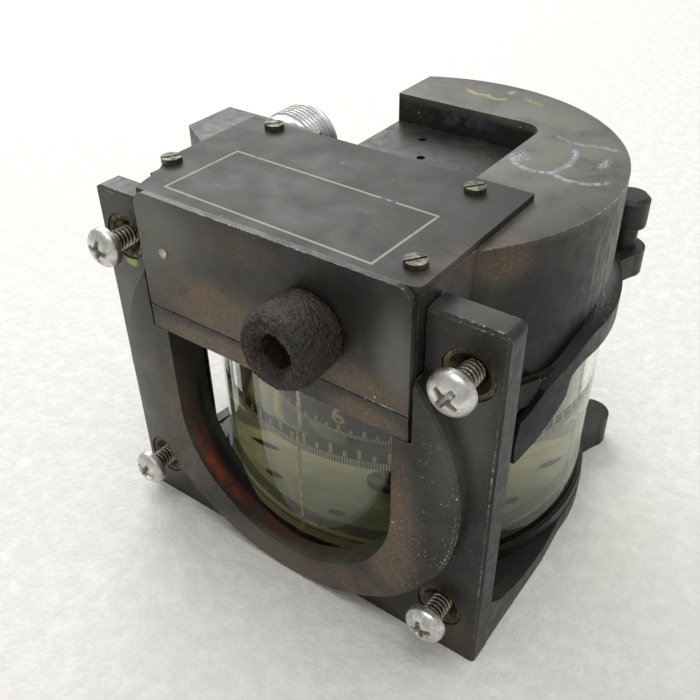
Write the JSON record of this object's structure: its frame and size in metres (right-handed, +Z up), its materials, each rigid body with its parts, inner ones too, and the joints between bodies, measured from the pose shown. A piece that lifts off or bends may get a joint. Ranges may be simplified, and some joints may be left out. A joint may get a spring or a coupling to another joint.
{
  "type": "magnetic compass",
  "caption": "Panel-mounted magnetic compass: vertical card in a round glass bowl, flanged frame, top casting with compensator, lamp and knobbed front cover.",
  "frame": {"origin": "on the axis of the glass bowl, at the flat underside of the base", "axes": "+Z up along the bowl axis, -Y towards the window and the person who reads the card, +X to that person's right"},
  "size_m": [0.1024, 0.1162, 0.0959],
  "materials": {
    "black_casting": "satin black paint over a cast aluminium alloy",
    "screw_metal": "dull nickel plate on brass",
    "insert_metal": "tarnished brass",
    "brass": "plain machined brass",
    "gasket": "black cork and rubber sheet",
    "glass": "clear, faintly green",
    "dark_screw": "blackened",
    "plate": "black anodised sheet with a bright border line",
    "plate_screw": "dull nickel, slots filled with old paint",
    "cover_paint": "satin black paint, rust brown in the rubbed places",
    "thumb_metal": "darkened brass",
    "grip_rubber": "hard rubber, crazed all over",
    "spring_wire": "bright phosphor bronze wire",
    "jewel": "polished synthetic sapphire",
    "pivot_metal": "polished hard alloy",
    "float": "matt black float",
    "card": "matt black band with cream marks",
    "magnet": "dark sintered magnet alloy",
    "lubber": "cream painted wire",
    "bulb": "clear lamp glass",
    "lead": "cloth covered wire",
    "shell": "bright machined aluminium",
    "insulator": "dark moulded phenolic",
    "contact": "bright brass"
  },
  "bodies": {
    "housing": {"main_frame": "black_casting", "screw_inserts": "insert_metal", "panel_screws": "screw_metal", "expansion_diaphragm": "brass", "clamp_ring": "brass", "bottom_cover": "black_casting", "bottom_screws": "dark_screw", "lower_gasket": "gasket", "glass_bowl": "glass", "upper_gasket": "gasket", "top_casting": "black_casting", "tie_bolts": "dark_screw", "tie_nuts": "dark_screw", "lug_cap_screws": "dark_screw", "name_plate": "plate", "plate_screws": "plate_screw", "filler_plug": "brass", "plug_washer": "gasket", "lubber_wire": "lubber", "pivot_stem": "brass", "post_spring": "spring_wire", "compensator_frame": "brass", "compensator_screws": "screw_metal", "lamp_socket": "brass", "lamp_bulb": "bulb", "lamp_window": "glass", "lamp_leads": "lead", "connector_shell": "shell", "connector_insert": "insulator", "connector_pins": "contact"},
    "cover": {"front_cover": "cover_paint", "cover_dowel": "screw_metal"},
    "knob": {"thumb_screw": "thumb_metal", "knob_grip": "grip_rubber", "screw_clip": "spring_wire"},
    "post": {"jewel_post": "brass", "jewel": "jewel"},
    "tip": {"pivot_tip": "pivot_metal"},
    "pin": {"pivot_pin": "pivot_metal"},
    "card": {"pin_ferrule": "brass", "card_float": "float", "card_ring": "card", "card_magnets": "magnet"},
    "ew_drive": {"ew_adjuster": "screw_metal", "ew_drive_gear": "brass", "ew_drive_magnet": "magnet"},
    "ew_idler": {"ew_idler_shaft": "screw_metal", "ew_idler_gear": "brass", "ew_idler_magnet": "magnet"},
    "ns_drive": {"ns_adjuster": "screw_metal", "ns_drive_gear": "brass"},
    "ns_roller": {"ns_shaft": "screw_metal", "ns_driven_gear": "brass", "ns_magnet": "magnet"}
  },
  "joints": [
    {"name": "cover_pull", "type": "slide", "parent": "housing", "child": "cover", "axis": [0, -1, 0], "range_m": [0, 0.025]},
    {"name": "knob_turn", "type": "hinge", "parent": "cover", "child": "knob", "pos_m": [0.012, -0.0533, 0.0796], "axis": [0, 1, 0], "continuous": true},
    {"name": "post_slide", "type": "slide", "parent": "housing", "child": "post", "axis": [0, 0, 1], "range_m": [-0.0008, 0], "stiffness_N_per_m": 900, "springref_m": 0.001, "deforming": ["post_spring"]},
    {"name": "card_pitch", "type": "hinge", "parent": "post", "child": "tip", "pos_m": [0, 0, 0.04102], "axis": [1, 0, 0], "range_deg": [-12, 12]},
    {"name": "card_bank", "type": "hinge", "parent": "tip", "child": "pin", "pos_m": [0, 0, 0.04102], "axis": [0, 1, 0], "range_deg": [-12, 12]},
    {"name": "card_spin", "type": "hinge", "parent": "pin", "child": "card", "pos_m": [0, 0, 0.04102], "axis": [0, 0, 1], "continuous": true},
    {"name": "ew_adjust", "type": "hinge", "parent": "housing", "child": "ew_drive", "pos_m": [-0.0226, -0.0484, 0.07975], "axis": [0, 1, 0], "continuous": true},
    {"name": "ew_idle", "type": "hinge", "parent": "housing", "child": "ew_idler", "pos_m": [-0.0094, -0.0484, 0.07975], "axis": [0, 1, 0], "continuous": true},
    {"name": "ns_adjust", "type": "hinge", "parent": "housing", "child": "ns_drive", "pos_m": [0.003, -0.0484, 0.07975], "axis": [0, 1, 0], "continuous": true},
    {"name": "ns_roll", "type": "hinge", "parent": "housing", "child": "ns_roller", "pos_m": [0, -0.028, 0.07975], "axis": [1, 0, 0], "continuous": true}
  ],
  "couplings": [
    {"joint": "ew_idle", "follows": "ew_adjust", "ratio": -1},
    {"joint": "ns_roll", "follows": "ns_adjust", "ratio": -1}
  ]
}
